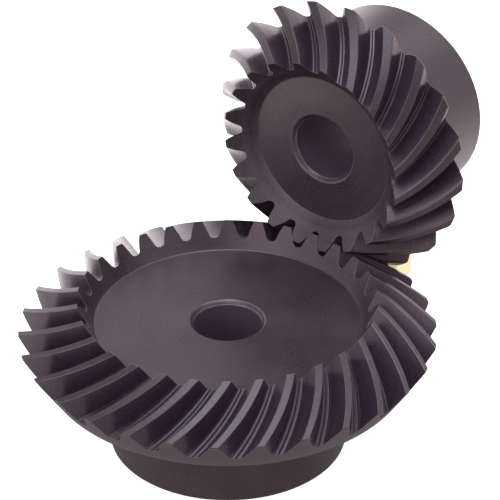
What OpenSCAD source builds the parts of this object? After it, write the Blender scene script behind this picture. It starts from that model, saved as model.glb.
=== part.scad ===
// Spiral bevel gear pair, 3:2, shafts at 90 degrees, with a rest block under the pinion.
// Millimetres. Origin on the ring gear's axis at its hub face, +Z up that axis,
// +X along the pinion's axis towards its hub. Both pitch cones share one apex on +Z.

/* [Gear pair] */
// Outer transverse module, mm
gear_module = 3; // [2.9:0.05:3.1]
// Normal pressure angle, degrees
pressure_angle = 20; // [20:0.25:21]
// Spiral angle at mid face, degrees
spiral_angle = 34; // [33:0.5:36]
// Radius of the circle that the teeth curve along, mm
cutter_radius = 45; // [43:1:50]
// Face width along the pitch cone, mm
face_width = 15.4; // [14:0.2:16]
// Backlash between the tooth flanks at the heel, mm
backlash = 0.24; // [0.2:0.02:0.4]
// Fillet radius at the tooth roots, mm
root_fillet = 0.7; // [0.5:0.05:0.75]
// Turn of the ring gear at rest, degrees
rest_phase = 8.1; // [0:0.1:12]

/* [Ring gear] */
// Bore diameter, mm
ring_bore_d = 15; // [12:0.5:20]
// Hub diameter, mm
ring_hub_d = 52.5; // [46:0.5:54]
// Distance from the hub face to the pitch apex, mm
ring_mounting = 56; // [54:0.5:58]
// Distance from the hub face to the flat front face, mm
ring_length = 29.7; // [29:0.1:30.2]
// Diameter of the flat front face, mm
ring_face_d = 58.6; // [57:0.1:59.4]
// Distance from the hub face to the back of the rim, mm
ring_rim_back = 19.4; // [18.5:0.1:20]
// Reach of the chamfer on the outer tooth corners, each way, mm
ring_corner = 0.3; // [0.2:0.1:0.9]

/* [Pinion] */
// Bore diameter, mm
pinion_bore_d = 15; // [12:0.5:18]
// Hub diameter, mm
pinion_hub_d = 45; // [42:0.5:46]
// Distance from the hub face to the pitch apex, mm
pinion_mounting = 66.5; // [64:0.5:68]
// Distance from the hub face to the flat front face, mm
pinion_length = 30.5; // [30:0.1:31]
// Diameter of the flat front face, mm
pinion_face_d = 34.9; // [33:0.1:35.6]
// Distance from the hub face to the back of the rim, mm
pinion_rim_back = 17.5; // [16.5:0.5:18.5]
// Reach of the chamfer on the outer tooth corners, each way, mm
pinion_corner = 0.3; // [0.2:0.1:1.2]

/* [Edges] */
// Chamfer at both ends of the bores, mm
bore_chamfer = 0.8; // [0.5:0.1:1]
// Chamfer on the hub edges, mm
hub_chamfer = 0.2; // [0.2:0.1:0.8]

/* [Rest block] */
// Distance from the ring gear's axis to the near face of the plate, mm
rest_start = 51.5; // [51:0.5:53]
// Thickness of the plate along the pinion's axis, mm
rest_thick = 6.5; // [5:0.5:8]
// Width of the plate, mm
rest_width = 21.6; // [18:0.2:24]
// Height where the plate narrows to its neck, mm
rest_shoulder = 16.8; // [15:0.2:20]
// Width of the neck, mm
rest_neck = 10; // [8:0.5:12]
// Length of the foot along the pinion's axis, mm
rest_foot_l = 20; // [16:0.5:22]
// Width of the foot, mm
rest_foot_w = 16; // [14:0.5:18]
// Height of the foot, mm
rest_foot_h = 4; // [3:0.5:6]
// Height of the saddle's horns above the underside of the hub, mm
rest_horn = 3; // [2:0.5:3.5]
// Running clearance between the saddle and the pinion's hub, mm
rest_clearance = 0.3; // [0.2:0.05:0.6]

/* [Hidden] */
ring_teeth = 30;
pinion_teeth = 20;
ratio = ring_teeth / pinion_teeth;
ring_cone = atan2(ring_teeth, pinion_teeth);
pinion_cone = 90 - ring_cone;
cone_dist = gear_module * sqrt(pow(ring_teeth, 2) + pow(pinion_teeth, 2)) / 2;
mean_dist = cone_dist - face_width / 2;
toe_dist = cone_dist - face_width;
// tooth heights at the heel, with the long and short addenda usual for spiral bevel gears
working_depth = 1.7 * gear_module;
whole_depth = 1.888 * gear_module;
ring_add = (0.46 + 0.39 / pow(ratio, 2)) * gear_module;
pinion_add = working_depth - ring_add;
ring_ded = whole_depth - ring_add;
pinion_ded = whole_depth - pinion_add;
// root cones run to the apex, face cones lie parallel to the mate's root cone
ring_root = ring_cone - atan(ring_ded / cone_dist);
pinion_root = pinion_cone - atan(pinion_ded / cone_dist);
ring_face = 90 - pinion_root;
pinion_face = 90 - ring_root;
// polar angles where the cutters end, this far outside the tooth tips
top_margin = 0.7;
ring_top = ring_cone + atan(ring_add / cone_dist) + top_margin;
pinion_top = pinion_cone + atan(pinion_add / cone_dist) + top_margin;
// distance from the apex to the centre of the tooth circle
cutter_dist = sqrt(
    pow(mean_dist, 2) + pow(cutter_radius, 2) - 2 * mean_dist * cutter_radius * sin(spiral_angle)
);
// transverse thickness of a ring gear tooth on the pitch cone, in local modules
thick_toe = 1.36;
thick_heel = 1.17;
// cutters run past both ends of what they cut by this much
over = 0.8;
slices = 8;
flank_steps = 3;
$fn = 96;

// ---- tooth form: spherical involutes on spheres about the apex ----

// spiral angle at cone distance r
function spiral_at(r) = asin(
    (r * r - mean_dist * mean_dist + 2 * mean_dist * cutter_radius * sin(spiral_angle))
    / (2 * r * cutter_radius)
);

// angle at the apex between the tooth circle's centre and the tooth trace
function trace_at(r) = acos(
    (r * r + cutter_dist * cutter_dist - cutter_radius * cutter_radius) / (2 * r * cutter_dist)
);

// turn of a ring gear tooth at cone distance r, measured from its heel
function ring_twist(r) = (trace_at(r) - trace_at(cone_dist)) / sin(ring_cone);

// transverse pressure angle at cone distance r
function transverse_at(r) = atan(tan(pressure_angle) / cos(spiral_at(r)));

// tooth thickness on the pitch cone in local modules, before backlash
function ring_thick(r) = thick_toe + (thick_heel - thick_toe) * (r - toe_dist) / face_width;
function pinion_thick(r) = PI - ring_thick(r);

// turn swept by a spherical involute from base cone b to cone g
function involute(g, b) = acos(min(1, cos(g) / cos(b))) / sin(b) - acos(min(1, tan(b) / tan(g)));

// half angle of the space between two teeth at polar angle g
function half_space(g, cone, teeth, thick, r) =
    let (
        b = asin(sin(cone) * cos(transverse_at(r))),
        slack = backlash / 2 / (teeth * gear_module) * 180 / PI,
        half_tooth = thick / teeth * 180 / PI - slack
    )
    180 / teeth - half_tooth - involute(cone, b) + involute(max(g, b + 0.01), b);

// one side of a space: [polar angle, half angle] pairs from the root outwards
function side(cone, root, top, teeth, thick, r) =
    let (
        deg = 180 / PI / r,
        a = transverse_at(r),
        low = root + root_fillet * (1 - sin(a)) * deg,
        wall = half_space(low, cone, teeth, thick, r),
        reach = wall - root_fillet * cos(a) * deg / sin(root)
    )
    concat(
        [for (t = [0, (90 - a) / 2]) [
            root + root_fillet * (1 - cos(t)) * deg,
            reach + root_fillet * sin(t) * deg / sin(root)
        ]],
        [for (k = [0 : flank_steps])
            let (g = low + (top - low) * k / flank_steps)
            [g, half_space(g, cone, teeth, thick, r)]]
    );

// point at distance r from the apex, g from the gear's axis, t round it; the axis points down
function on_sphere(r, g, t) = [r * sin(g) * cos(t), r * sin(g) * sin(t), -r * cos(g)];

// closed section of one space on the sphere of radius r, centred on the turn c
function section(cone, root, top, teeth, thick, r, c) =
    let (s = side(cone, root, top, teeth, thick, r), n = len(s))
    concat(
        [for (k = [0 : n - 1]) on_sphere(r, s[k][0], c + s[k][1])],
        [for (k = [n - 1 : -1 : 0]) on_sphere(r, s[k][0], c - s[k][1])]
    );

// cone distances of the sections, past both ends of the face
stations = [for (k = [0 : slices]) toe_dist - over + (face_width + 2 * over) * k / slices];

// solid that cuts one tooth space, lofted through its sections
module space_cutter(sections) {
    n = len(sections[0]);
    m = len(sections);
    points = [for (s = sections) each s];
    walls = [for (i = [0 : m - 2]) for (k = [0 : n - 1])
        let (a = i * n + k, b = i * n + (k + 1) % n)
        each [[a, b + n, b], [a, a + n, b + n]]];
    ends = [for (k = [0 : n / 2 - 2])
        let (b = k + 1, c = n - 2 - k, d = n - 1 - k, e = (m - 1) * n)
        each [[k, b, c], [k, c, d], [e + k, e + c, e + b], [e + k, e + d, e + c]]];
    polyhedron(points, concat(walls, ends));
}

// ---- gears, drawn with the apex at the origin and the axis pointing down ----

// blank outline as [radius, depth below the apex], from the bore round the teeth to the hub
function blank(cone, face, add, front, face_d, back, mount, bore_d, hub_d, corner) =
    let (
        along = [sin(cone), cos(cone)],
        across = [cos(cone), -sin(cone)],
        land = [sin(face), cos(face)],
        heel = cone_dist * along,
        tip = heel + add * across,
        rim = [face_d / 2, front],
        toe_slope = toe_dist * along - rim,
        land_length = cross(tip - rim, toe_slope) / cross(land, toe_slope)
    )
    [
        [bore_d / 2, mount - bore_chamfer],
        [bore_d / 2, front + bore_chamfer],
        [bore_d / 2 + bore_chamfer, front],
        rim,
        tip - land * land_length,
        tip - land * corner,
        tip - across * corner,
        heel - across * (back - heel[1]) / sin(cone),
        [hub_d / 2, back],
        [hub_d / 2, mount - hub_chamfer],
        [hub_d / 2 - hub_chamfer, mount],
        [bore_d / 2 + bore_chamfer, mount]
    ];

module ring_gear() {
    outline = blank(ring_cone, ring_face, ring_add, ring_mounting - ring_length, ring_face_d,
        ring_mounting - ring_rim_back, ring_mounting, ring_bore_d, ring_hub_d, ring_corner);
    cut = [for (r = stations) section(ring_cone, ring_root, ring_top, ring_teeth,
        ring_thick(r), r, rest_phase + 180 / ring_teeth + ring_twist(r))];
    color([0.2, 0.18, 0.2])
        translate([0, 0, ring_mounting])
            difference() {
                rotate_extrude()
                    polygon([for (p = outline) [p[0], -p[1]]]);
                for (k = [0 : ring_teeth - 1])
                    rotate([0, 0, k * 360 / ring_teeth])
                        space_cutter(cut);
            }
}

module pinion() {
    outline = blank(pinion_cone, pinion_face, pinion_add, pinion_mounting - pinion_length,
        pinion_face_d, pinion_mounting - pinion_rim_back, pinion_mounting, pinion_bore_d,
        pinion_hub_d, pinion_corner);
    cut = [for (r = stations) section(pinion_cone, pinion_root, pinion_top, pinion_teeth,
        pinion_thick(r), r, 180 - ratio * (rest_phase + ring_twist(r)))];
    color([0.24, 0.22, 0.24])
        translate([0, 0, ring_mounting])
            rotate([0, -90, 0])
                difference() {
                    rotate_extrude()
                        polygon([for (p = outline) [p[0], -p[1]]]);
                    for (k = [0 : pinion_teeth - 1])
                        rotate([0, 0, k * 360 / pinion_teeth])
                            space_cutter(cut);
                }
}

// plate that stands on a foot and carries the underside of the pinion's hub
module rest_block() {
    half = rest_width / 2;
    neck = rest_neck / 2;
    low = rest_shoulder - half + neck;
    high = ring_mounting - pinion_hub_d / 2 + rest_horn;
    color([0.9, 0.82, 0.62])
        difference() {
            union() {
                translate([rest_start, 0, 0])
                    rotate([90, 0, 90])
                        linear_extrude(rest_thick)
                            polygon([[-neck, 0], [neck, 0], [neck, low], [half, rest_shoulder],
                                [half, high], [-half, high], [-half, rest_shoulder], [-neck, low]]);
                translate([rest_start + (rest_thick - rest_foot_l) / 2, -rest_foot_w / 2, 0])
                    cube([rest_foot_l, rest_foot_w, rest_foot_h]);
            }
            translate([rest_start - over, 0, ring_mounting])
                rotate([0, 90, 0])
                    cylinder(d = pinion_hub_d + 2 * rest_clearance, h = rest_thick + 2 * over);
        }
}

rest_block();
ring_gear();
pinion();
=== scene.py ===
# Spiral bevel gear pair in black-oxide steel, standing on a white table.
# Metres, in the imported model's frame: origin on the ring gear's axis at its hub face,
# +Z up that axis, +X along the pinion's axis towards its hub. Both pitch cones share one apex.
import math

import bpy
import numpy as np
from mathutils import Matrix, Vector


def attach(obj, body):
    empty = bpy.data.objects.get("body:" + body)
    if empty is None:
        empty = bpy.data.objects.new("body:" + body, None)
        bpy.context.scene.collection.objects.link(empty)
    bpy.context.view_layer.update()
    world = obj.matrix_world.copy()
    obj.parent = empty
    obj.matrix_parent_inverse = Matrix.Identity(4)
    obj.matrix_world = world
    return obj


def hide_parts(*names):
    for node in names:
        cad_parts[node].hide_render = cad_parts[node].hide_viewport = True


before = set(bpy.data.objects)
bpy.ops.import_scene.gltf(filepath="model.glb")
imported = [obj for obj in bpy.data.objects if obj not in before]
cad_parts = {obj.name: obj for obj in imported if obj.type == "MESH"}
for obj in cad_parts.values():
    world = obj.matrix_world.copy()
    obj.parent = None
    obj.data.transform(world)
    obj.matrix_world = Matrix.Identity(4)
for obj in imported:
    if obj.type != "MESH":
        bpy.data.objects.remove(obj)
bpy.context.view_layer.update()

MM = 0.001
DEG = math.radians(1)

# ---- driving dimensions, as in the CAD ----

MODULE = 3 * MM
RING_TEETH = 30
PINION_TEETH = 20
PRESSURE_ANGLE = 20 * DEG
SPIRAL_ANGLE = 34 * DEG
CUTTER_RADIUS = 45 * MM
FACE_WIDTH = 15.4 * MM
BACKLASH = 0.24 * MM
REST_PHASE = 8.1 * DEG
THICK_TOE = 1.36
THICK_HEEL = 1.17
BORE_CHAMFER = 0.8 * MM
HUB_CHAMFER = 0.2 * MM

# fine details: the CAD has a root fillet of 0.7 mm, and leaves the others out
ROOT_FILLET = 0.85 * MM
EDGE = 0.08 * MM
BORE_EDGE = 0.13 * MM
HUB_FILLET = 0.8 * MM
RIM_FILLET = 0.35 * MM
RIM_BREAK = 0.15 * MM
UNDER_ROOT = 3 * EDGE

# half a tooth root, from the flank to the middle: share of the way across, share of the
# fillet's height, and share of the depth of the groove that the cutter leaves
GROOVE = 0.18 * MM
ROOT_SHAPE = np.array([
    (0.14, 0.66, 0), (0.27, 0.32, 0), (0.38, 0.05, 0), (0.44, 0.0, 0), (0.62, 0.0, 0),
    (0.80, 0.0, 0), (1.0, 0.0, 1),
])

# mesh density, and the angle from which an edge is shaded as sharp
FACE_ROWS = 22
FLANK_POINTS = 8
ARC_POINTS = 5
BORE_ROWS = 10
FACE_RINGS = (0.35, 0.7)
GEAR_CREASE = 26 * DEG

# finishes of the faces, as material slots
TURNED, CUT, EDGES, TOPS, BORE, RIMS = range(6)

# ---- values that follow from them ----

RATIO = RING_TEETH / PINION_TEETH
APEX = 56 * MM
RING_CONE = math.atan2(RING_TEETH, PINION_TEETH)
CONE_DIST = MODULE * math.hypot(RING_TEETH, PINION_TEETH) / 2
MEAN_DIST = CONE_DIST - FACE_WIDTH / 2
TOE_DIST = CONE_DIST - FACE_WIDTH

# usual proportions of spiral bevel teeth
WORKING_DEPTH = 1.7 * MODULE
WHOLE_DEPTH = 1.888 * MODULE
RING_ADD = (0.46 + 0.39 / RATIO ** 2) * MODULE
PINION_ADD = WORKING_DEPTH - RING_ADD

# the tooth trace is an arc of the cutter's circle on the unrolled pitch cone
TRACE_REACH = 2 * MEAN_DIST * CUTTER_RADIUS * math.sin(SPIRAL_ANGLE)
TRACE_DIST = math.sqrt(MEAN_DIST ** 2 + CUTTER_RADIUS ** 2 - TRACE_REACH)


class Gear:
    """One gear's proportions. Depths are measured along its axis from the apex."""

    def __init__(self, teeth, cone, add, mate_add, bore_d, hub_d, front, face_d, back, mount,
                 corner):
        self.teeth = teeth
        self.cone = cone
        self.add = add
        self.root = cone - math.atan((WHOLE_DEPTH - add) / CONE_DIST)
        self.face = cone + math.atan((WHOLE_DEPTH - mate_add) / CONE_DIST)
        self.along = np.array([math.sin(cone), math.cos(cone)])
        self.across = np.array([math.cos(cone), -math.sin(cone)])
        self.bore_r = bore_d / 2
        self.hub_r = hub_d / 2
        self.front = front
        self.rim_r = face_d / 2
        self.back = back
        self.mount = mount
        self.corner = corner
        rim = np.array([self.rim_r, front])
        self.toe_lean = (rim @ self.along - TOE_DIST) / (rim @ self.across)

    def is_ring(self):
        return self.teeth == RING_TEETH

    def tip_height(self, p):
        """Height of the tooth's outline above the pitch cone, at distance p along it."""
        lean = math.tan(self.face - self.cone)
        land = self.add - (CONE_DIST - p) * lean
        start = CONE_DIST - self.corner * math.cos(self.face - self.cone)
        start_height = self.add - self.corner * math.sin(self.face - self.cone)
        fall = (start_height - (self.add - self.corner)) / (CONE_DIST - start)
        return min(land, start_height - (p - start) * fall)

    def root_height(self, p):
        return -p * math.tan(self.cone - self.root)

    def meridian(self, p, height):
        """Radius and depth of a point at distance p along the pitch cone and height off it."""
        radius = p * self.along[0] + height * self.across[0]
        depth = p * self.along[1] + height * self.across[1]
        return radius, depth

    def centre(self, r):
        """Turn of the first tooth's middle at distance r from the apex."""
        turn = REST_PHASE + twist(r)
        return turn if self.is_ring() else RATIO * turn + math.pi / self.teeth

    def place(self, radius, depth, turn):
        """Points in the row frame."""
        side = radius * np.sin(turn)
        reach = radius * np.cos(turn)
        if self.is_ring():
            return np.stack([reach, side, APEX - depth], -1)
        return np.stack([depth, side, APEX - reach], -1)


RING = Gear(
    teeth=RING_TEETH, cone=RING_CONE, add=RING_ADD, mate_add=PINION_ADD,
    bore_d=15 * MM, hub_d=52.5 * MM, front=26.3 * MM, face_d=58.6 * MM, back=36.6 * MM,
    mount=56 * MM, corner=0.3 * MM,
)
PINION = Gear(
    teeth=PINION_TEETH, cone=math.pi / 2 - RING_CONE, add=PINION_ADD, mate_add=RING_ADD,
    bore_d=15 * MM, hub_d=45 * MM, front=36 * MM, face_d=34.9 * MM, back=49 * MM,
    mount=66.5 * MM, corner=0.3 * MM,
)

# ---- tooth form: spherical involutes on spheres about the apex ----

# the least angle off the base cone at which an involute is worked out
OFF_BASE = 1e-4


def spiral_at(r):
    """Spiral angle of the tooth trace at distance r from the apex."""
    reach = r * r - MEAN_DIST ** 2 + TRACE_REACH
    return np.arcsin(reach / (2 * r * CUTTER_RADIUS))


def trace_at(r):
    """Angle of the circular tooth trace on the unrolled pitch cone."""
    reach = r * r + TRACE_DIST ** 2 - CUTTER_RADIUS ** 2
    return np.arccos(reach / (2 * r * TRACE_DIST))


def twist(r):
    """Turn of a ring gear tooth at distance r from the apex, measured from its heel."""
    return (trace_at(r) - trace_at(CONE_DIST)) / math.sin(RING_CONE)


def transverse_at(r):
    """Pressure angle across the tooth, square to the cone's line."""
    return np.arctan(math.tan(PRESSURE_ANGLE) / np.cos(spiral_at(r)))


def thickness(gear, r):
    """Tooth thickness on the pitch cone, in local modules."""
    ring = THICK_TOE + (THICK_HEEL - THICK_TOE) * (r - TOE_DIST) / FACE_WIDTH
    return ring if gear.is_ring() else math.pi - ring


def involute(polar, base):
    """Turn of a spherical involute where it reaches the polar angle."""
    sweep = np.arccos(np.minimum(1, np.cos(polar) / np.cos(base))) / np.sin(base)
    return sweep - np.arccos(np.minimum(1, np.tan(base) / np.tan(polar)))


def half_tooth(gear, polar, r):
    """Half the angle that a tooth takes up, at a polar angle and a distance from the apex."""
    base = np.arcsin(math.sin(gear.cone) * np.cos(transverse_at(r)))
    slack = BACKLASH / 2 / (gear.teeth * MODULE)
    on_pitch = thickness(gear, r) / gear.teeth - slack
    return on_pitch + involute(gear.cone, base) - involute(np.maximum(polar, base + OFF_BASE), base)


def half_profile(gear, p, lean):
    """Heights off the pitch cone, and angles from the tooth's middle to the space's middle."""
    tip = gear.tip_height(p + lean * gear.add)
    root_polar = gear.cone + math.atan2(gear.root_height(p), p)
    steep = transverse_at(p)
    low_polar = root_polar + ROOT_FILLET * (1 - math.sin(steep)) / p
    low = p * math.tan(low_polar - gear.cone)
    heights = np.linspace(tip - EDGE, low, FLANK_POINTS)
    polar = gear.cone + np.arctan2(heights, p + lean * heights)
    flank = half_tooth(gear, polar, np.hypot(p + lean * heights, heights))
    tip_polar = gear.cone + math.atan2(tip, p)
    land = half_tooth(gear, tip_polar, math.hypot(p, tip)) - EDGE / (p * math.sin(tip_polar))
    floor = gear.root_height(p)
    root = floor + (low - floor) * ROOT_SHAPE[:, 1] - GROOVE * ROOT_SHAPE[:, 2]
    root_angle = flank[-1] + (math.pi / gear.teeth - flank[-1]) * ROOT_SHAPE[:, 0]
    height = np.concatenate([[tip, tip], heights, root])
    return height, np.concatenate([[0, land], flank, root_angle])


def whole_profile(gear, p, lean):
    """One tooth and the space after it, from the tooth's middle round to the next one."""
    height, angle = half_profile(gear, p, lean)
    step = 2 * math.pi / gear.teeth
    return (
        np.concatenate([height, height[-2:0:-1]]),
        np.concatenate([angle, step - angle[-2:0:-1]]),
    )


def inset(height, angle, radius, step, amount):
    """The profile moved into the metal by amount, for the small bevel round the tooth ends."""
    arc = angle * radius
    before = np.roll(arc, 1) - np.eye(len(arc))[0] * step * radius
    after = np.roll(arc, -1) + np.eye(len(arc))[-1] * step * radius
    run = after - before
    rise = np.roll(height, -1) - np.roll(height, 1)
    size = np.hypot(run, rise)
    return height - amount * run / size, (arc + amount * rise / size) / radius


def tooth_row(gear, p, lean=0.0, shrink=0.0):
    """Radius, depth and turn of one closed row of points round the toothed rim."""
    height, angle = whole_profile(gear, p, lean)
    step = 2 * math.pi / gear.teeth
    if shrink:
        height, angle = inset(height, angle, p * math.sin(gear.cone), step, shrink)
    along = p + lean * height
    radius, depth = gear.meridian(along, height)
    turn = angle + gear.centre(np.hypot(along, height))
    turns = (turn[None, :] + step * np.arange(gear.teeth)[:, None]).ravel()
    return np.tile(radius, gear.teeth), np.tile(depth, gear.teeth), turns


def circle_row(radius, depth, turns):
    return np.full(len(turns), radius), np.full(len(turns), depth), turns


def corner_arc(before, corner, after, size):
    """Points of a rounding of the corner, tangent to both sides at that distance from it."""
    start = corner + (before - corner) / np.linalg.norm(before - corner) * size
    end = corner + (after - corner) / np.linalg.norm(after - corner) * size
    points = []
    for t in np.linspace(0, 1, ARC_POINTS):
        points.append((1 - t) ** 2 * start + 2 * t * (1 - t) * corner + t * t * end)
    return points


def tooth_rows(gear):
    """Rows over the teeth from the toe to the heel, the first and the last a little inset."""
    end = CONE_DIST
    chamfer = end - gear.corner * math.cos(gear.face - gear.cone)
    stations = list(np.linspace(TOE_DIST + EDGE, chamfer, FACE_ROWS))
    stations += [(chamfer + end) / 2, end - EDGE]
    rows = [tooth_row(gear, TOE_DIST, gear.toe_lean, EDGE)]
    for p in stations:
        share = (end - p) / FACE_WIDTH
        rows.append(tooth_row(gear, p, gear.toe_lean * share))
    rows.append(tooth_row(gear, end, 0.0, EDGE))
    return rows


def below_roots(gear, p, lean):
    """Point just below the tooth roots, at the toe or at the heel."""
    below = gear.root_height(p) - UNDER_ROOT
    return np.array(gear.meridian(p + lean * below, below))


def front_points(gear):
    """Radius, depth and finish of the bore's chamfer, the flat face, its corner and the cone
    below the roots."""
    low = gear.front + BORE_CHAMFER
    inner = np.array([gear.bore_r + BORE_CHAMFER, gear.front])
    rim = np.array([gear.rim_r, gear.front])
    shelf = below_roots(gear, TOE_DIST, gear.toe_lean)
    points = [
        # the bevel at the bore's inner edge gets the rims finish, a painted highlight
        (gear.bore_r, low + BORE_EDGE, RIMS),
        (gear.bore_r + BORE_EDGE, low - BORE_EDGE, TURNED),
        (inner[0] - BORE_EDGE, gear.front + BORE_EDGE, EDGES),
        (inner[0] + BORE_EDGE, gear.front, TURNED),
    ]
    for share in FACE_RINGS:
        points.append((inner[0] + (rim[0] - inner[0]) * share, gear.front, TURNED))
    size = RIM_FILLET if gear.is_ring() else RIM_BREAK
    for radius, depth in corner_arc(inner, rim, shelf, size):
        points.append((radius, depth, TURNED))
    points.append((*shelf, TURNED))
    return points


def back_points(gear):
    """Radius and depth of the cone below the roots, the rim's back, the hub and its face."""
    ledge = below_roots(gear, CONE_DIST, 0.0)
    heel = np.array(gear.meridian(CONE_DIST, 0.0))
    outer = heel - gear.across * (gear.back - heel[1]) / math.sin(gear.cone)
    neck = np.array([gear.hub_r, gear.back])
    foot = np.array([gear.hub_r, gear.mount])
    points = [ledge]
    points += corner_arc(ledge, outer, neck, RIM_BREAK)
    points += corner_arc(outer, neck, foot, HUB_FILLET)
    points.append((gear.hub_r, gear.mount - HUB_CHAMFER))
    points.append((gear.hub_r - HUB_CHAMFER, gear.mount))
    points.append((gear.bore_r + BORE_CHAMFER, gear.mount))
    return points


def gear_rows(gear):
    """Rows and their finishes, from the bore over the front face, the teeth and the hub, back
    into the bore."""
    teeth = tooth_rows(gear)
    toe_turns = teeth[0][2]
    heel_turns = teeth[-1][2]
    rows = []
    for radius, depth, finish in front_points(gear):
        rows.append((circle_row(radius, depth, toe_turns), finish))
    rows.append((teeth[0], EDGES))
    for row in teeth[1:-2]:
        rows.append((row, CUT))
    rows.append((teeth[-2], EDGES))
    rows.append((teeth[-1], TURNED))
    for radius, depth in back_points(gear):
        rows.append((circle_row(radius, depth, heel_turns), TURNED))

    # in the bore the columns turn back to where they started
    top = gear.front + BORE_CHAMFER + BORE_EDGE
    bottom = gear.mount - BORE_CHAMFER
    for share in np.linspace(0, 1, BORE_ROWS)[:-1]:
        turns = heel_turns + (toe_turns - heel_turns) * share
        rows.append((circle_row(gear.bore_r, bottom + (top - bottom) * share, turns), BORE))
    return rows


def face_finish(kind, column, columns_per_tooth):
    """Finish of a face. A row over the teeth runs from top to edge, flank, edge and top."""
    if kind != CUT:
        return kind
    place = min(column, columns_per_tooth - 1 - column)
    if place == 0:
        return TOPS
    return EDGES if place == 1 else CUT


def build_gear(name, gear, body, materials):
    """One closed mesh of quads, made by joining each row to the next, and the last to the first."""
    rows = gear_rows(gear)
    grid = np.stack([gear.place(*row) for row, finish in rows])
    count, columns = grid.shape[:2]
    per_tooth = columns // gear.teeth
    faces = []
    slots = []
    for i in range(count):
        for k in range(columns):
            a = i * columns + k
            b = i * columns + (k + 1) % columns
            c = (i + 1) % count * columns + (k + 1) % columns
            d = (i + 1) % count * columns + k
            faces.append((a, b, c, d))
            slots.append(face_finish(rows[i][1], k % per_tooth, per_tooth))
    if gear.is_ring():
        faces = [face[::-1] for face in faces]
    mesh = bpy.data.meshes.new(name)
    mesh.from_pydata(grid.reshape(-1, 3).tolist(), [], faces)
    for material in materials:
        mesh.materials.append(material)
    mesh.polygons.foreach_set("material_index", slots)
    mesh.polygons.foreach_set("use_smooth", [True] * len(faces))
    mesh.set_sharp_from_angle(angle=GEAR_CREASE)
    mesh.update()
    obj = bpy.data.objects.new(name, mesh)
    bpy.context.scene.collection.objects.link(obj)
    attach(obj, body)
    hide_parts(name.replace("_steel", ""))
    return obj


# rest block, in the CAD's dimensions
REST_START = 51.5 * MM
REST_THICK = 6.5 * MM
REST_WIDTH = 21.6 * MM
REST_NECK = 10 * MM
REST_SHOULDER = 16.8 * MM
REST_CLEARANCE = 0.3 * MM
FOOT_LENGTH = 20 * MM
FOOT_WIDTH = 16 * MM
FOOT_HEIGHT = 4 * MM
SADDLE_POINTS = 17

# its rounded edges, which the CAD leaves out
REST_ROUND = 0.45 * MM
REST_ROUND_STEPS = 3
REST_ROUND_FROM = 30 * DEG
REST_CREASE = 40 * DEG


def prism(name, outline, start, length):
    """Closed outline of y and z, drawn out along x."""
    count = len(outline)
    points = [(x, y, z) for x in (start, start + length) for y, z in outline]
    faces = [tuple(range(count - 1, -1, -1)), tuple(range(count, 2 * count))]
    for k in range(count):
        n = (k + 1) % count
        faces.append((k, n, n + count, k + count))
    mesh = bpy.data.meshes.new(name)
    mesh.from_pydata(points, [], faces)
    obj = bpy.data.objects.new(name, mesh)
    bpy.context.scene.collection.objects.link(obj)
    return obj


def rest_outline():
    """Plate with a narrow neck, and a saddle that follows the pinion's hub."""
    half = REST_WIDTH / 2
    neck = REST_NECK / 2
    low = REST_SHOULDER - half + neck
    saddle = PINION.hub_r + REST_CLEARANCE
    outline = [(-neck, 0), (neck, 0), (neck, low), (half, REST_SHOULDER)]
    for y in np.linspace(half, -half, SADDLE_POINTS):
        outline.append((float(y), APEX - math.sqrt(saddle ** 2 - y ** 2)))
    return outline + [(-half, REST_SHOULDER), (-neck, low)]


def build_rest(material):
    """Plate and foot joined into one solid, with its edges rounded."""
    side = FOOT_WIDTH / 2
    foot_outline = [(-side, 0), (side, 0), (side, FOOT_HEIGHT), (-side, FOOT_HEIGHT)]
    foot_start = REST_START + (REST_THICK - FOOT_LENGTH) / 2
    obj = prism("rest_block_cream", rest_outline(), REST_START, REST_THICK)
    foot = prism("rest_foot", foot_outline, foot_start, FOOT_LENGTH)
    join = obj.modifiers.new("join", "BOOLEAN")
    join.operation = "UNION"
    join.solver = "EXACT"
    join.object = foot
    rounding = obj.modifiers.new("rounding", "BEVEL")
    rounding.width = REST_ROUND
    rounding.segments = REST_ROUND_STEPS
    rounding.angle_limit = REST_ROUND_FROM
    depsgraph = bpy.context.evaluated_depsgraph_get()
    mesh = bpy.data.meshes.new_from_object(obj.evaluated_get(depsgraph))
    obj.modifiers.clear()
    obj.data = mesh
    bpy.data.objects.remove(foot)
    mesh.materials.clear()
    mesh.materials.append(material)
    mesh.polygons.foreach_set("use_smooth", [True] * len(mesh.polygons))
    mesh.set_sharp_from_angle(angle=REST_CREASE)
    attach(obj, "stand")
    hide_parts("rest_block")
    return obj


# ---- materials ----

# sockets of a colour mix node
MIX_A = 6
MIX_B = 7
MIX_RESULT = 2

# the values that a noise mostly keeps between, and a closer pair for a stronger grain
NOISE_SPAN = (0.3, 0.7)
GRAIN_SPAN = (0.36, 0.64)


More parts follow.
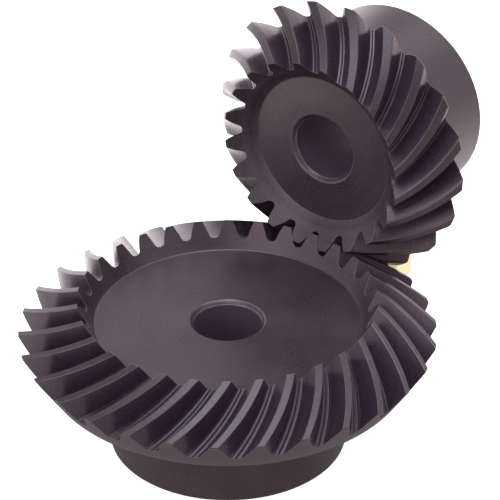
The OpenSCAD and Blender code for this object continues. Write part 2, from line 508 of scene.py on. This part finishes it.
class Nodes:
    """A few short calls for building a shader."""

    def __init__(self, name):
        self.material = bpy.data.materials.new(name)
        self.material.use_nodes = True
        self.tree = self.material.node_tree
        self.shader = self.tree.nodes["Principled BSDF"]

    def add(self, kind, **values):
        node = self.tree.nodes.new(kind)
        for key, value in values.items():
            setattr(node, key, value)
        return node

    def link(self, source, target):
        self.tree.links.new(source, target)

    def math(self, operation, a, b=None):
        node = self.add("ShaderNodeMath", operation=operation)
        for socket, value in zip(node.inputs, (a, b)):
            if isinstance(value, (int, float)):
                socket.default_value = value
            elif value is not None:
                self.link(value, socket)
        return node.outputs[0]

    def noise(self, where, scale, detail=2.0, roughness=0.5, dimensions="3D"):
        node = self.add("ShaderNodeTexNoise", noise_dimensions=dimensions)
        self.link(where, node.inputs["W" if dimensions == "1D" else "Vector"])
        node.inputs["Scale"].default_value = scale
        node.inputs["Detail"].default_value = detail
        node.inputs["Roughness"].default_value = roughness
        return node.outputs["Fac"]

    def ramp(self, source, low, high, start=0.0, end=1.0):
        """Takes low to high over to start to end, and holds the ends beyond them."""
        node = self.add("ShaderNodeMapRange")
        self.link(source, node.inputs["Value"])
        node.inputs["From Min"].default_value = low
        node.inputs["From Max"].default_value = high
        node.inputs["To Min"].default_value = start
        node.inputs["To Max"].default_value = end
        return node.outputs["Result"]

    def mix(self, factor, a, b):
        """Colour a at factor 0 and colour b at factor 1, each a tuple or a socket."""
        node = self.add("ShaderNodeMix", data_type="RGBA")
        self.link(factor, node.inputs["Factor"])
        for socket, value in zip(node.inputs[MIX_A:MIX_B + 1], (a, b)):
            if isinstance(value, tuple):
                socket.default_value = (*value, 1.0)
            else:
                self.link(value, socket)
        return node.outputs[MIX_RESULT]

    def bump(self, height, distance, strength=1.0, normal=None):
        node = self.add("ShaderNodeBump")
        node.inputs["Strength"].default_value = strength
        node.inputs["Distance"].default_value = distance
        self.link(height, node.inputs["Height"])
        if normal is not None:
            self.link(normal, node.inputs["Normal"])
        return node.outputs["Normal"]


# darkest and lightest tone of each finish, the tone where the oxide is worn, and a light tone
# painted on the bore's rims as a highlight
OXIDE_TURNED = ((0.005, 0.001, 0.006), (0.059, 0.045, 0.051))
OXIDE_CUT = ((0.014, 0.007, 0.015), (0.052, 0.034, 0.050))
OXIDE_TOPS = ((0.004, 0.002, 0.005), (0.020, 0.014, 0.020))
# the bore's tones are lighter than the outer faces: painted light inside the bore
OXIDE_BORE_PAINTED_LIGHT = ((0.050, 0.031, 0.052), (0.108, 0.076, 0.114))
OXIDE_WORN = (0.13, 0.117, 0.123)
# painted highlight on the bore's rims, laid on in patches
RIM_PAINTED_HIGHLIGHT = (0.23, 0.218, 0.222)

# gloss: tint, refractive index, roughness and how far the lathe streaks a highlight
OXIDE_GLOSS = (1.0, 0.86, 0.90, 1.0)
OXIDE_IOR = 1.65
TOPS_IOR = 1.69
RING_FLANK_IOR = 1.54
PINION_FLANK_IOR = 1.67
OXIDE_ROUGH = 0.27
CUT_ROUGH = 0.21
BORE_ROUGH = 0.5
CLOUD_ROUGH = 0.07
GRAIN_ROUGH = 0.015
TURNED_STREAK = 0.6

# patterns of the finish: how fine each is, per metre unless its name says otherwise, how far
# the lathe's lines lean with depth, and how deep each pattern is
CLOUDS = 90.0
GRAIN = 3600.0
SPECKS = 5200.0
RUB_AND_HIGHLIGHT_SPOTS = 420.0
PER_MM = 1000.0
LATHE_LINES_PER_MM = 2.4
LATHE_LEAN = 1.37
CUTTER_BANDS_PER_RADIAN = 40.0
CUTTER_LINES_PER_BAND = 8.0
GRAIN_DEPTH = 0.009 * MM
LATHE_DEPTH = 0.024 * MM
CUTTER_DEPTH = 0.040 * MM
RELIEF = 0.8

# how much of a finish's change of tone each pattern gives
CLOUD_TONE = 0.25
GRAIN_TONE = 0.45
MARKS_TONE = 0.45

# specks of worn metal: how strong they are, and the noise at which one starts and is full
SPECKLE = 0.35
TOPS_SPECKLE = 0.8
SPECK_START = 0.66
SPECK_SPREAD = 0.12
SPECK_FULL = 0.76

# rubbed spots, worn oxide on the edges and patches of painted highlight on the bore's rims: the
# noise between which they grow, and the least and the most that they cover
RUB_AND_HIGHLIGHT_SPAN = (0.35, 0.65)
RUB_AND_HIGHLIGHT_COVER = (0.15, 0.75)


def axis_coordinates(nodes, gear):
    """Sockets for the object position, the radius from the gear's axis and the depth along it."""
    where = nodes.add("ShaderNodeTexCoord").outputs["Object"]
    split = nodes.add("ShaderNodeSeparateXYZ")
    nodes.link(where, split.inputs[0])
    x, y, z = split.outputs
    height = nodes.math("SUBTRACT", z, APEX)
    across = x if gear.is_ring() else height
    depth = nodes.math("MULTIPLY", height, -1.0) if gear.is_ring() else x
    squares = nodes.math("ADD", nodes.math("POWER", across, 2.0), nodes.math("POWER", y, 2.0))
    return where, nodes.math("SQRT", squares), depth


def tool_marks(nodes, radius, depth, cut):
    """Lines that the gear cutter leaves along a flank, or the lathe round a turned face."""
    if cut:
        angle = nodes.math("ARCTAN2", radius, depth)
        bands = nodes.math("MULTIPLY", angle, CUTTER_BANDS_PER_RADIAN)
        return nodes.noise(bands, CUTTER_LINES_PER_BAND, detail=2.0, roughness=0.6,
                           dimensions="1D")
    spiral = nodes.math("ADD", radius, nodes.math("MULTIPLY", depth, LATHE_LEAN))
    in_mm = nodes.math("MULTIPLY", spiral, PER_MM)
    return nodes.noise(in_mm, LATHE_LINES_PER_MM, detail=3.0, roughness=0.7, dimensions="1D")


def oxide_tone(nodes, where, patterns, tones, speckle, worn_and_highlight):
    """Colour of the oxide with specks of worn metal, and rubbed spots: wear on edges, painted
    highlight on the bore's rims.
    """
    clouds, grain, marks = patterns
    dots = nodes.noise(where, SPECKS, detail=1.0)
    specks = nodes.ramp(dots, SPECK_START - SPECK_SPREAD * speckle, SPECK_FULL)
    blend = nodes.math("ADD", nodes.ramp(clouds, *NOISE_SPAN, 0.0, CLOUD_TONE),
                       nodes.ramp(grain, *GRAIN_SPAN, 0.0, GRAIN_TONE))
    blend = nodes.math("ADD", blend, nodes.ramp(marks, *NOISE_SPAN, 0.0, MARKS_TONE))
    colour = nodes.mix(blend, *tones)
    colour = nodes.mix(nodes.math("MULTIPLY", specks, speckle), colour, OXIDE_WORN)
    if worn_and_highlight:
        rub_and_highlight = nodes.noise(where, RUB_AND_HIGHLIGHT_SPOTS, detail=3.0, roughness=0.6)
        colour = nodes.mix(nodes.ramp(rub_and_highlight, *RUB_AND_HIGHLIGHT_SPAN, *RUB_AND_HIGHLIGHT_COVER), colour, worn_and_highlight)
    return colour


def oxide_steel(name, gear, tones=OXIDE_TURNED, cut=False, worn_and_highlight=None, speckle=SPECKLE,
                rough=OXIDE_ROUGH, ior=OXIDE_IOR):
    """Black oxide over turned steel, or over flanks left by the gear cutter."""
    nodes = Nodes(name)
    inputs = nodes.shader.inputs
    where, radius, depth = axis_coordinates(nodes, gear)
    marks = tool_marks(nodes, radius, depth, cut)
    clouds = nodes.noise(where, CLOUDS, detail=4.0, roughness=0.55)
    grain = nodes.noise(where, GRAIN, detail=2.0, roughness=0.6)
    colour = oxide_tone(nodes, where, (clouds, grain, marks), tones, speckle, worn_and_highlight)
    nodes.link(colour, inputs["Base Color"])
    inputs["IOR"].default_value = ior
    inputs["Specular Tint"].default_value = OXIDE_GLOSS
    if not cut:
        inputs["Anisotropic"].default_value = TURNED_STREAK
        around = nodes.add("ShaderNodeTangent", direction_type="RADIAL",
                           axis="Z" if gear.is_ring() else "X")
        nodes.link(around.outputs[0], inputs["Tangent"])
    gloss = nodes.math("ADD", nodes.ramp(clouds, *NOISE_SPAN, rough, rough + CLOUD_ROUGH),
                       nodes.ramp(grain, *NOISE_SPAN, -GRAIN_ROUGH, GRAIN_ROUGH))
    nodes.link(gloss, inputs["Roughness"])
    fine = nodes.bump(grain, GRAIN_DEPTH, RELIEF)
    relief = nodes.bump(marks, CUTTER_DEPTH if cut else LATHE_DEPTH, RELIEF, fine)
    nodes.link(relief, inputs["Normal"])
    return nodes.material


# cream block: its tones, its patterns per metre with the grain drawn out along z, how deep
# and how rough the grain is, and how much of the change of tone each pattern gives
CREAM_DARK = (0.86, 0.70, 0.40)
CREAM_LIGHT = (0.97, 0.84, 0.56)
CREAM_GRAIN = 900.0
CREAM_CLOUDS = 60.0
GRAIN_STRETCH = (1.0, 1.0, 0.12)
CREAM_DEPTH = 0.05 * MM
CREAM_RELIEF = 0.5
CREAM_ROUGH = (0.55, 0.75)
CREAM_GRAIN_TONE = 0.6
CREAM_CLOUD_TONE = 0.4


def cream_material():
    """Matt cream block with a faint grain."""
    nodes = Nodes("cream_block_matt")
    where = nodes.add("ShaderNodeTexCoord").outputs["Object"]
    stretch = nodes.add("ShaderNodeMapping")
    stretch.inputs["Scale"].default_value = GRAIN_STRETCH
    nodes.link(where, stretch.inputs["Vector"])
    grain = nodes.noise(stretch.outputs["Vector"], CREAM_GRAIN, detail=5.0, roughness=0.6)
    tone = nodes.noise(where, CREAM_CLOUDS, detail=3.0)
    blend = nodes.math("ADD", nodes.ramp(grain, *NOISE_SPAN, 0.0, CREAM_GRAIN_TONE),
                       nodes.ramp(tone, *NOISE_SPAN, 0.0, CREAM_CLOUD_TONE))
    nodes.link(nodes.mix(blend, CREAM_DARK, CREAM_LIGHT), nodes.shader.inputs["Base Color"])
    nodes.link(nodes.ramp(grain, *NOISE_SPAN, *CREAM_ROUGH), nodes.shader.inputs["Roughness"])
    nodes.link(nodes.bump(grain, CREAM_DEPTH, CREAM_RELIEF), nodes.shader.inputs["Normal"])
    return nodes.material


def steel_finishes(name, gear):
    """Materials in the order of the slots: turned, cut, edges, tops, bore, rims."""
    flank_ior = RING_FLANK_IOR if gear.is_ring() else PINION_FLANK_IOR
    return [
        oxide_steel(name + "_turned", gear),
        oxide_steel(name + "_cut", gear, OXIDE_CUT, cut=True, rough=CUT_ROUGH, ior=flank_ior),
        oxide_steel(name + "_edges", gear, worn_and_highlight=OXIDE_WORN),
        oxide_steel(name + "_tops", gear, OXIDE_TOPS, speckle=TOPS_SPECKLE, ior=TOPS_IOR),
        # the bore's lighter tones are painted light
        oxide_steel(name + "_bore", gear, OXIDE_BORE_PAINTED_LIGHT, rough=BORE_ROUGH),
        # the rims carry a painted highlight in patches
        oxide_steel(name + "_rims", gear, worn_and_highlight=RIM_PAINTED_HIGHLIGHT),
    ]


for name, gear, body in (("ring_gear", RING, "ring"), ("pinion", PINION, "pinion")):
    build_gear(name + "_steel", gear, body, steel_finishes(name, gear))

rest = build_rest(cream_material())

# ---- table, light and camera ----

# camera, fitted to the photograph: its height over the horizon, the turn of the pinion's axis
# from the picture's right, away from the camera, and how far its aim is right of and below the
# apex
VIEW_ELEVATION = 31.4 * DEG
PINION_TURN = 54.49 * DEG
VIEW_DISTANCE = 655 * MM
LENS = 220.2
AIM_RIGHT = 4.88 * MM
AIM_DOWN = 7.17 * MM
NEAR_CLIP = 0.05
FAR_CLIP = 20

TABLE_HALF = 6.0
TABLE_TOP = -0.02 * MM
TABLE_WHITE = (0.85, 0.85, 0.85, 1)
TABLE_ROUGH = 0.9
TABLE_GLOW = 0.93

# the painted shadow on the table, a dim glowing sheet seen only in reflections: its tint, the radii
# between which it gets brighter, its brightness there, and the radii between which it fades out
SHADE_HALF = 90 * MM
SHADE_TINT = (1.0, 0.87, 0.92, 1)
SHADE_RADII = (50 * MM, 75 * MM)
SHADE_GLOW = (0.36, 0.70)
SHADE_END = (60 * MM, 85 * MM)

LIGHT_AIM = Vector((0.02, 0, 0.04))


def view_axes():
    """Right, up and backward directions of the camera."""
    right = Vector((math.cos(PINION_TURN), -math.sin(PINION_TURN), 0))
    ahead = Vector((math.sin(PINION_TURN), math.cos(PINION_TURN), 0))
    back = -ahead * math.cos(VIEW_ELEVATION) + Vector((0, 0, math.sin(VIEW_ELEVATION)))
    return right, back.cross(right), back


def make_camera():
    """Camera that looks at the gears as the photograph does."""
    right, up, back = view_axes()
    aim = Vector((0, 0, APEX)) + right * AIM_RIGHT - up * AIM_DOWN
    data = bpy.data.cameras.new("camera")
    data.lens = LENS
    data.clip_start = NEAR_CLIP
    data.clip_end = FAR_CLIP
    camera = bpy.data.objects.new("camera", data)
    turn = Matrix((right, up, back)).transposed().to_4x4()
    camera.matrix_world = Matrix.Translation(aim + back * VIEW_DISTANCE) @ turn
    bpy.context.scene.collection.objects.link(camera)
    bpy.context.scene.camera = camera


def stage_square(name, half, height, material):
    """A flat square centred on the ring gear's axis."""
    mesh = bpy.data.meshes.new(name)
    corners = [(-half, -half, height), (half, -half, height), (half, half, height),
               (-half, half, height)]
    mesh.from_pydata(corners, [], [(0, 1, 2, 3)])
    mesh.materials.append(material)
    obj = bpy.data.objects.new(name, mesh)
    bpy.context.scene.collection.objects.link(obj)
    return obj


def make_table():
    """White table, which the gears don't reflect."""
    nodes = Nodes("table_white")
    inputs = nodes.shader.inputs
    inputs["Base Color"].default_value = TABLE_WHITE
    inputs["Roughness"].default_value = TABLE_ROUGH
    inputs["Specular IOR Level"].default_value = 0.0
    inputs["Emission Color"].default_value = (1, 1, 1, 1)
    inputs["Emission Strength"].default_value = TABLE_GLOW
    table = stage_square("table", TABLE_HALF, TABLE_TOP, nodes.material)
    table.visible_glossy = False
    table.visible_diffuse = False


def make_shade():
    """Painted shadow on the table under the ring gear: a dim glowing sheet, seen only in
    reflections.
    """
    nodes = Nodes("table_shade")
    where = nodes.add("ShaderNodeTexCoord").outputs["Object"]
    reach = nodes.add("ShaderNodeVectorMath", operation="LENGTH")
    nodes.link(where, reach.inputs[0])
    glow = nodes.add("ShaderNodeEmission")
    glow.inputs["Color"].default_value = SHADE_TINT
    nodes.link(nodes.ramp(reach.outputs["Value"], *SHADE_RADII, *SHADE_GLOW),
               glow.inputs["Strength"])
    clear = nodes.add("ShaderNodeBsdfTransparent")
    blend = nodes.add("ShaderNodeMixShader")
    nodes.link(nodes.ramp(reach.outputs["Value"], *SHADE_END), blend.inputs[0])
    nodes.link(glow.outputs[0], blend.inputs[1])
    nodes.link(clear.outputs[0], blend.inputs[2])
    output = nodes.tree.nodes["Material Output"]
    nodes.link(blend.outputs[0], output.inputs["Surface"])
    shade = stage_square("table_shade", SHADE_HALF, 0, nodes.material)
    shade.visible_camera = False
    shade.visible_diffuse = False
    shade.visible_shadow = False


def heading(azimuth, elevation):
    """Direction from the gears, with the azimuth to the left of the view and the elevation
    above the horizon, in degrees."""
    right = view_axes()[0]
    ahead = right.cross(Vector((0, 0, -1)))
    flat = ahead * math.cos(azimuth * DEG) - right * math.sin(azimuth * DEG)
    return flat * math.cos(elevation * DEG) + Vector((0, 0, math.sin(elevation * DEG)))


def make_softbox(name, azimuth, elevation, distance, width, height, power, colour, only=None):
    """A soft area light that looks at the gears, or at one object only."""
    away = heading(azimuth, elevation)
    data = bpy.data.lights.new(name, "AREA")
    data.shape = "RECTANGLE"
    data.size = width
    data.size_y = height
    data.energy = power
    data.color = colour
    light = bpy.data.objects.new(name, data)
    light.location = LIGHT_AIM + away * distance
    light.rotation_euler = away.to_track_quat("Z", "Y").to_euler()
    bpy.context.scene.collection.objects.link(light)
    if only:
        lit = bpy.data.collections.new(name + "_lit")
        lit.objects.link(only)
        light.light_linking.receiver_collection = lit


# the even white of the studio, and the areas painted over it one after another: azimuth and
# elevation of the middle, where it fades out and where it is full in degrees from the middle,
# and colour
STUDIO_FILL = (0.80, 0.72, 0.745)
STUDIO_AREAS = (
    (150, 82, 40, 22, (2.50, 2.78, 3.14)),
    (78, 54, 30, 12, (0.36, 0.34, 0.35)),
    (-35, 42, 28, 12, (1.35, 1.30, 1.35)),
    (8, -16, 42, 20, (2.20, 2.10, 2.15)),
    (-52, -28, 30, 12, (1.30, 1.22, 1.25)),
    (105, -33, 45, 22, (1.34, 1.21, 1.26)),
    (148, 24, 34, 14, (1.75, 1.60, 1.66)),
    (-150, -8, 32, 14, (0.64, 0.56, 0.60)),
    (-162, 38, 28, 10, (0.30, 0.26, 0.29)),
    (-100, 46, 24, 10, (1.30, 1.19, 1.23)),
    (2, 34, 26, 10, (0.71, 0.645, 0.665)),
    (-30, -10, 20, 8, (1.70, 1.60, 1.65)),
)


def make_world():
    """Soft white surroundings with brighter and darker areas."""
    world = bpy.data.worlds.new("studio")
    world.use_nodes = True
    tree = world.node_tree
    where = tree.nodes.new("ShaderNodeTexCoord").outputs["Generated"]
    fill = tree.nodes.new("ShaderNodeRGB")
    fill.outputs[0].default_value = (*STUDIO_FILL, 1)
    total = fill.outputs[0]
    for azimuth, elevation, outer, inner, colour in STUDIO_AREAS:
        dot = tree.nodes.new("ShaderNodeVectorMath")
        dot.operation = "DOT_PRODUCT"
        dot.inputs[1].default_value = heading(azimuth, elevation)
        tree.links.new(where, dot.inputs[0])
        ramp = tree.nodes.new("ShaderNodeMapRange")
        ramp.interpolation_type = "SMOOTHSTEP"
        ramp.inputs["From Min"].default_value = math.cos(outer * DEG)
        ramp.inputs["From Max"].default_value = math.cos(inner * DEG)
        tree.links.new(dot.outputs["Value"], ramp.inputs["Value"])
        area = tree.nodes.new("ShaderNodeMix")
        area.data_type = "RGBA"
        area.inputs[MIX_B].default_value = (*colour, 1)
        tree.links.new(ramp.outputs["Result"], area.inputs["Factor"])
        tree.links.new(total, area.inputs[MIX_A])
        total = area.outputs[MIX_RESULT]
    tree.links.new(total, tree.nodes["Background"].inputs["Color"])
    bpy.context.scene.world = world


make_camera()
make_table()
make_shade()
make_world()
make_softbox("top_light", azimuth=40, elevation=78, distance=1.2, width=0.7, height=0.7,
             power=2.5, colour=(0.92, 0.96, 1.0))
make_softbox("block_light", azimuth=-150, elevation=15, distance=0.8, width=0.4, height=0.4,
             power=4.0, colour=(1.0, 0.98, 0.95), only=rest)
bpy.context.scene.view_settings.view_transform = "Standard"
